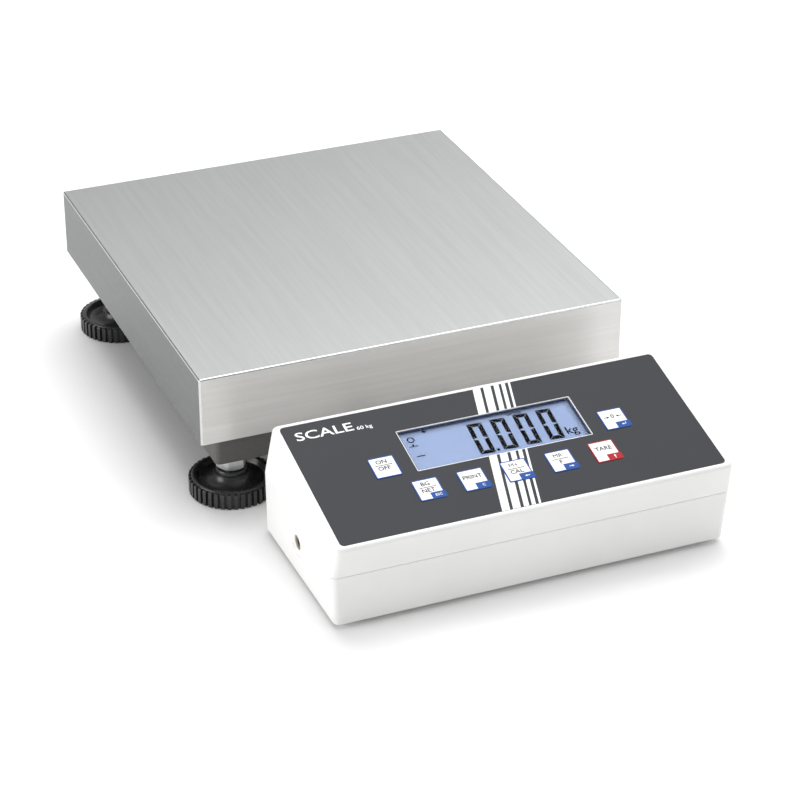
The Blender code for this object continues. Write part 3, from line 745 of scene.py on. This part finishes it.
def makeUpperShell():
    obj = taperedBlock("upperShell", "parting", "top")
    lift = case["gap"]
    for vert in obj.data.vertices:
        y, z = vert.co.y, vert.co.z
        front, back = case["parting"]
        meet = front[1] + (y - front[0]) * (back[1] - front[1]) / (back[0] - front[0])
        if abs(z - meet) < 1e-4:
            vert.co.z += lift
    flat = panelFrame.inverted() @ caseFrame
    pick(obj, "EDGE", lambda middle, along: abs((flat @ middle).z) < 1e-5)
    bpy.ops.mesh.bevel(offset=case["edge"], segments=6, affect="EDGES")
    backToObject()
    pick(obj, "FACE", lambda centre, facing: facing.z < -0.8)
    bpy.ops.mesh.delete(type="FACE")
    backToObject()
    applied(obj, "SOLIDIFY", thickness=case["wall"] + case["recess"], offset=-1)
    put(obj, caseFrame)
    spare = 0.0002
    recessSize = [side + 2 * spare for side in panelSize]
    recess = slab("recess", (0, 0), recessSize, -case["recess"], 0.002, 0.003)
    opening = slab("opening", nodeOnPanel("lcd_window"), display["hole"], -0.006, 0.001, display["corner"])
    stems = []
    for key in keys:
        stem = turned("stem", [(0.0025, -0.006), (0.0025, 0.001)], 24)
        stems.append(put(stem, Matrix.Translation((*nodeOnPanel(key), 0))))
    combine(obj, "DIFFERENCE", *[put(cutter, panelFrame) for cutter in [recess, opening]])
    combine(obj, "DIFFERENCE", put(joined("stems", stems), panelFrame))
    softEdges(obj, case["groove"] * 0.8, 2, 60)
    wear(obj, caseFinish)
    smooth(obj)
    ready(obj, "indicator", "case_plastic", "upper_shell")


keys = {
    "key_on_off": {"words": ("ON", "OFF"), "tab": ""},
    "key_gross_net": {"words": ("BG", "NET"), "tab": "ESC"},
    "key_print": {"words": ("PRINT",), "tab": "C"},
    "key_memory_add": {"words": ("M+", "CAL"), "tab": "left"},
    "key_memory_recall": {"words": ("MR", "F"), "tab": "right"},
    "key_tare": {"words": ("TARE",), "tab": "up"},
    "key_zero": {"words": ("0",), "tab": "enter"},
}
makeLowerShell()
makeUpperShell()
print("case made")


keySize = (0.0177, 0.0188)
keyCorner = 0.0012
keyProud = 0.00035
panelGap = 0.0001
ink = 0.00004       # how thick a print is
stripes = {
    "lean": -0.0275,            # how far a stripe moves sideways from the back edge to the front one
    "edges": ((0.1357, 0.1411), (0.1432, 0.1485), (0.1507, 0.1543), (0.1562, 0.1589), (0.1611, 0.1626)),
}


def makeOverlay():
    obj = slab("keypadOverlay", (0, 0), panelSize, -0.0007, 0, 0.003)
    windowHole = [side + 2 * panelGap for side in display["outline"]]
    keyHole = [side + 2 * panelGap for side in keySize]
    holes = [slab("hole", nodeOnPanel("lcd_window"), windowHole, -0.002, 0.001, display["corner"])]
    for key in keys:
        holes.append(slab("hole", nodeOnPanel(key), keyHole, -0.002, 0.001, keyCorner))
    combine(obj, "DIFFERENCE", *holes)
    left, back = -panelSize[0] / 2, panelSize[1] / 2
    across = Vector((panelSize[1], stripes["lean"], 0)).normalized()
    for edge in [edge for pair in stripes["edges"] for edge in pair]:
        pick(obj, "FACE", lambda centre, facing: True)
        bpy.ops.mesh.bisect(plane_co=(left + edge, back, 0), plane_no=across)
        backToObject()
    wear(obj, overlayFinish, whitePrint)

    def onStripe(centre, facing):
        atBack = centre.x - left - stripes["lean"] * (back - centre.y) / panelSize[1]
        return facing.z > 0.9 and any(low < atBack < high for low, high in stripes["edges"])

    giveFaces(obj, 1, onStripe)
    put(obj, panelFrame)
    ready(obj, "indicator", "overlay_foil", "keypad_overlay")


def words(name, text, height, centre, level, material, depth=ink, wide=1.0, bold=0.0):
    # flat lettering, its capitals as tall as height, middle on centre
    bpy.ops.object.select_all(action="DESELECT")
    bpy.ops.object.text_add()
    obj = bpy.context.object
    obj.name = name
    obj.data.body = text
    obj.data.align_x = "CENTER"
    obj.data.align_y = "CENTER"
    obj.data.size = height / 0.72
    obj.data.extrude = depth / 2
    obj.data.offset = height * bold
    obj.data.resolution_u = 3
    bpy.ops.object.convert(target="MESH")
    obj = bpy.context.object
    obj.data.name = name
    put(obj, Matrix.Diagonal((wide, 1, 1, 1)))
    put(obj, Matrix.Translation((*centre, level + depth / 2)))
    wear(obj, material)
    return obj


def arrow(name, length, centre, angle, level, material, depth=ink):
    # a shaft and a three-sided head
    thick = length * 0.14
    shaft = block(name, (-length / 2, -thick / 2, level), (length * 0.2, thick / 2, level + depth))
    bpy.ops.object.select_all(action="DESELECT")
    bpy.ops.mesh.primitive_cylinder_add(vertices=3, radius=length * 0.3, depth=depth,
                                        location=(length * 0.22, 0, level + depth / 2),
                                        rotation=(0, 0, -math.pi / 2))
    head = freshPiece(name + "Head")
    obj = joined(name, [shaft, head])
    wear(obj, material)
    return put(obj, Matrix.Translation((*centre, 0)) @ Matrix.Rotation(math.radians(angle), 4, "Z"))


def tabPrint(symbol, centre, level):
    if symbol in ("left", "right", "up"):
        angle = {"left": 180, "right": 0, "up": 90}[symbol]
        return [arrow("tabArrow", 0.0034, centre, angle, level, whitePrint)]
    if symbol == "enter":
        hook = block("tabHook", (centre[0] + 0.0012, centre[1], level),
                     (centre[0] + 0.0016, centre[1] + 0.0015, level + ink))
        wear(hook, whitePrint)
        return [arrow("tabArrow", 0.0030, centre, 180, level, whitePrint), hook]
    return [words("tabWords", symbol, 0.0021, centre, level, whitePrint, bold=0.014)]


def boldness(text):
    # an M closes up when it is made bolder
    return 0.0 if "M" in text else 0.02


def makeKey(node, legend):
    x, y = nodeOnPanel(node)
    edge = redPrint if node == "key_tare" else bluePrint
    top = keyProud
    cap = slab("cap", (x, y), keySize, -0.00045, top, keyCorner, 5)
    pick(cap, "FACE", lambda centre, facing: facing.z > 0.9)
    bpy.ops.mesh.inset(thickness=0.0008, depth=0)
    backToObject()
    wear(cap, whitePrint, edge)
    middle = Vector((x, y))
    giveFaces(cap, 1, lambda centre, facing: facing.z <= 0.9 or (centre.xy - middle).length >= 0.001)
    stem = put(turned("stem", [(0.002, -0.0085), (0.002, -0.0003)], 24), Matrix.Translation((x, y, 0)))
    wear(stem, whitePrint)
    combine(cap, "UNION", stem)
    put(cap, panelFrame)
    title = "".join(word.title() for word in node.split("_")[1:])
    cap.name = "keyCap" + title
    ready(cap, node, "key_foil", node)

    prints = []
    if legend["tab"]:
        width, height, beyond = 0.0094, 0.0056, 0.0009
        right, bottom = x + keySize[0] / 2, y - keySize[1] / 2 + 0.0003
        outer = block("tabEnd", (right + 0.0002, bottom, 0), (right + beyond, bottom + height, ink))
        wear(outer, edge)
        outer.name = "tabEnd" + title
        ready(put(outer, panelFrame), "indicator", "overlay_foil")
        tab = block("tab", (right - width, bottom, top), (right - 0.0003, bottom + height, top + ink))
        wear(tab, edge)
        prints.append(tab)
        prints += tabPrint(legend["tab"], (right - width / 2 + 0.0004, bottom + height / 2), top + ink)
    lines = legend["words"]
    places = [(x - 0.0006, y + 0.0048), (x - 0.0006, y - 0.0012)] if len(lines) == 2 else [(x, y + 0.0024)]
    for text, centre in zip(lines, places):
        prints.append(words("legend", text, 0.0035, centre, top, legendPrint, bold=boldness(text)))
    if len(lines) == 2:
        rule = block("rule", (x - 0.0058, y + 0.0015, top), (x + 0.0058, y + 0.0020, top + ink))
        wear(rule, legendPrint)
        prints.append(rule)
    if node == "key_zero":
        prints.append(arrow("legendArrow", 0.0040, (x - 0.0044, y + 0.002), 0, top, legendPrint))
        prints.append(arrow("legendArrow", 0.0040, (x + 0.0044, y + 0.002), 180, top, legendPrint))
    obj = put(joined("keyPrint" + title, prints), panelFrame)
    ready(obj, node, "key_foil")


def ringSlab(name, centre, size, border, low, high, corner):
    obj = slab(name, centre, size, low, high, corner)
    inner = [side - 2 * border for side in size]
    innerCorner = max(corner - border, 0.0002)
    combine(obj, "DIFFERENCE", slab("inner", centre, inner, low - 0.001, high + 0.001, innerCorner))
    return obj


def makeDisplay():
    centre = nodeOnPanel("lcd_window")
    outline = ringSlab("windowOutline", centre, display["outline"], display["border"],
                       -0.0006, 0.00003, display["corner"])
    wear(outline, whitePrint)
    ready(put(outline, panelFrame), "indicator", "window_foil")
    pane = slab("windowPane", centre, display["hole"], -0.0005, -0.0001, 0.0003)
    wear(pane, windowFinish)
    ready(put(pane, panelFrame), "indicator", "window_foil", "lcd_window")
    wall = ringSlab("displayWall", centre, (0.1221, 0.0375), 0.0004, display["wallBottom"], -0.0006, 0.0004)
    # painted shade: the wall wears the darkened display blue
    wear(wall, wallPaintedShade)
    ready(put(wall, panelFrame), "indicator", "window_foil")
    glass = slab("displayModule", centre, (0.1212, 0.0366), -0.0090, display["glass"], 0.0004)
    softEdges(glass, 0.0002, 2, 60)
    middle = panelFrame @ Matrix.Translation((*centre, display["glass"]))
    wear(glass, displayGlass(middle, 0.0606, 0.0183))
    ready(put(glass, panelFrame), "indicator", "lcd_glass", "lcd_module")


digit = {
    "width": 0.0105, "height": 0.0290, "bar": 0.0032, "gap": 0.0002, "pitch": 0.0164,
    "slant": math.tan(math.radians(6)), "lift": 0.00003,
}


def bar(low, high, inner, cuts):
    # one flat bar of a digit; its inner side, +X, -X, +Y or -Y, is cut short at the low and the high end
    obj = block("bar", (*low, 0), (*high, ink))
    axis, side = inner
    for vert in obj.data.vertices:
        if (vert.co[axis] - (low[axis] + high[axis]) / 2) * side > 0:
            along = 1 - axis
            atHigh = vert.co[along] > (low[along] + high[along]) / 2
            vert.co[along] += -cuts[1] if atHigh else cuts[0]
    return obj


def makeDigits():
    w, h, t, g = digit["width"], digit["height"], digit["bar"], digit["gap"]
    half = h / 2
    nick = t * 0.3
    zero = joined("zero", [
        bar((g, h - t), (w - g, h), (1, -1), (t, t)),
        bar((g, 0), (w - g, t), (1, 1), (t, t)),
        bar((0, g), (t, half - g), (0, 1), (t, nick)),
        bar((0, half + g), (t, h - g), (0, 1), (nick, t)),
        bar((w - t, g), (w, half - g), (0, -1), (t, nick)),
        bar((w - t, half + g), (w, h - g), (0, -1), (nick, t)),
    ])
    slant = Matrix.Identity(4)
    slant[0][1] = digit["slant"]
    centre = nodeOnPanel("lcd_window")
    level = display["glass"] + digit["lift"]
    first = Vector((centre[0] - 0.0166 + 0.0011, centre[1] - 0.0166 + 0.0022, level))
    marks = []
    for k in range(4):
        place = Matrix.Translation(first + Vector((digit["pitch"] * k, 0.0, 0)))
        marks.append(copyOf(zero, "digit", place @ slant))
    bpy.data.objects.remove(zero)
    top = level + ink
    point = (first.x + w + 0.0022, first.y + 0.0012)
    marks.append(slab("point", point, (0.0022, 0.0022), level, top, 0.0005))
    for name, text, tall, x, y in (("unit", "kg", 0.0072, 0.0512, -0.0095),
                                   ("weightKind", "Gross", 0.0032, 0.0204, 0.0163)):
        marks.append(words(name, text, tall, (centre[0] + x, centre[1] + y), level, blackPrint, bold=0.014))
    ring = ringSlab("stableMark", (centre[0] - 0.0541, centre[1] + 0.0112), (0.0052, 0.0052), 0.0009,
                    level, top, 0.0025)
    marks.append(ring)
    for x, y, long, tall in ((-0.0544, 0.0062, 0.0012, 0.0016), (-0.0544, 0.0050, 0.0060, 0.0007),
                             (-0.0531, -0.0046, 0.0060, 0.0009), (-0.0430, 0.0165, 0.0040, 0.0009),
                             (-0.0430, 0.0165, 0.0009, 0.0034)):
        low = (centre[0] + x - long / 2, centre[1] + y - tall / 2, level)
        marks.append(block("mark", low, (low[0] + long, low[1] + tall, top)))
    obj = joined("displayDigits", marks)
    wear(obj, blackPrint)
    ready(put(obj, panelFrame), "indicator", "lcd_glass")


def makePanelWords():
    left, back = -panelSize[0] / 2, panelSize[1] / 2
    word = words("panelWord", "SCALE", 0.0078, (left + 0.0268, back - 0.0115), 0, whitePrint,
                 0.00003, 1.3, 0.014)
    small = words("panelRange", "60 kg", 0.0032, (left + 0.0535, back - 0.0140), 0, whitePrint,
                  0.00003, 1.1, 0.014)
    ready(put(joined("panelLettering", [word, small]), panelFrame), "indicator", "overlay_foil")


makeOverlay()
for node, legend in keys.items():
    makeKey(node, legend)
makeDisplay()
makeDigits()
makePanelWords()
print("panel made")


studio = {"floor": 0.96, "low": 0.34, "high": 2.1, "front": 6.0, "overhead": 19.0, "left": 23.0}
camera = {
    "place": (-0.6059, -1.50338, 0.9272), "turn": (-22.55, 60.70, 0.114), "lens": 118.02, "shift": 0.0006,
}


def softbox(name, place, size, power):
    bpy.ops.object.light_add(type="AREA", location=place)
    light = bpy.context.object
    light.name = name
    light.data.shape = "RECTANGLE"
    light.data.size, light.data.size_y = size
    light.data.energy = power
    light.rotation_euler = (-Vector(place)).to_track_quat("-Z", "Y").to_euler()


def makeSky():
    # brighter higher up and to the right; plain white where it is seen directly
    world = bpy.data.worlds.new("studio")
    bpy.context.scene.world = world
    world.use_nodes = True
    tree = world.node_tree
    way = tree.nodes.new("ShaderNodeTexCoord")
    lean = tree.nodes.new("ShaderNodeVectorMath")
    lean.operation = "DOT_PRODUCT"
    lean.inputs[1].default_value = (0.30, 0.35, 1.0)
    ramp = tree.nodes.new("ShaderNodeMapRange")
    ends = {"From Min": 0.76, "From Max": 1.02, "To Min": studio["low"], "To Max": studio["high"]}
    for socket, number in ends.items():
        ramp.inputs[socket].default_value = number
    sky = tree.nodes["Background"]
    sky.inputs["Color"].default_value = (1, 1, 1, 1)
    seen = tree.nodes.new("ShaderNodeBackground")
    seen.inputs["Color"].default_value = (1, 1, 1, 1)
    paths = tree.nodes.new("ShaderNodeLightPath")
    mix = tree.nodes.new("ShaderNodeMixShader")
    tree.links.new(way.outputs["Generated"], lean.inputs[0])
    tree.links.new(lean.outputs["Value"], ramp.inputs["Value"])
    tree.links.new(ramp.outputs["Result"], sky.inputs["Strength"])
    tree.links.new(paths.outputs["Is Camera Ray"], mix.inputs["Fac"])
    tree.links.new(sky.outputs["Background"], mix.inputs[1])
    tree.links.new(seen.outputs["Background"], mix.inputs[2])
    tree.links.new(mix.outputs["Shader"], tree.nodes["World Output"].inputs["Surface"])
    bpy.context.scene.view_settings.view_transform = "Standard"


def makeStudio():
    bpy.ops.object.select_all(action="DESELECT")
    bpy.ops.mesh.primitive_plane_add(size=24)
    floor = freshPiece("floor")
    finish = Finish("paleFloor", "ffffff", 0.9)
    finish.set("Base Color", (studio["floor"],) * 3 + (1,))
    finish.set("Specular IOR Level", 0.0)
    wear(floor, finish.material)
    softbox("frontRight", (1.15, -1.45, 1.2), (1.2, 0.5), studio["front"])
    softbox("overhead", (0.2, 0.8, 2.2), (1.6, 1.6), studio["overhead"])
    softbox("leftSide", (-2.2, 0.0, 0.65), (1.2, 1.2), studio["left"])
    makeSky()


def makeCamera():
    heading, pitch, roll = (math.radians(angle) for angle in camera["turn"])
    turn = Matrix.Rotation(heading, 4, "Z") @ Matrix.Rotation(pitch, 4, "X") @ Matrix.Rotation(roll, 4, "Z")
    bpy.ops.object.camera_add(location=camera["place"], rotation=turn.to_euler())
    obj = bpy.context.object
    obj.data.lens = camera["lens"]
    obj.data.sensor_width = 36
    obj.data.shift_y = camera["shift"]
    obj.data.clip_end = 60
    bpy.context.scene.camera = obj


makeStudio()
makeCamera()
print("studio made")
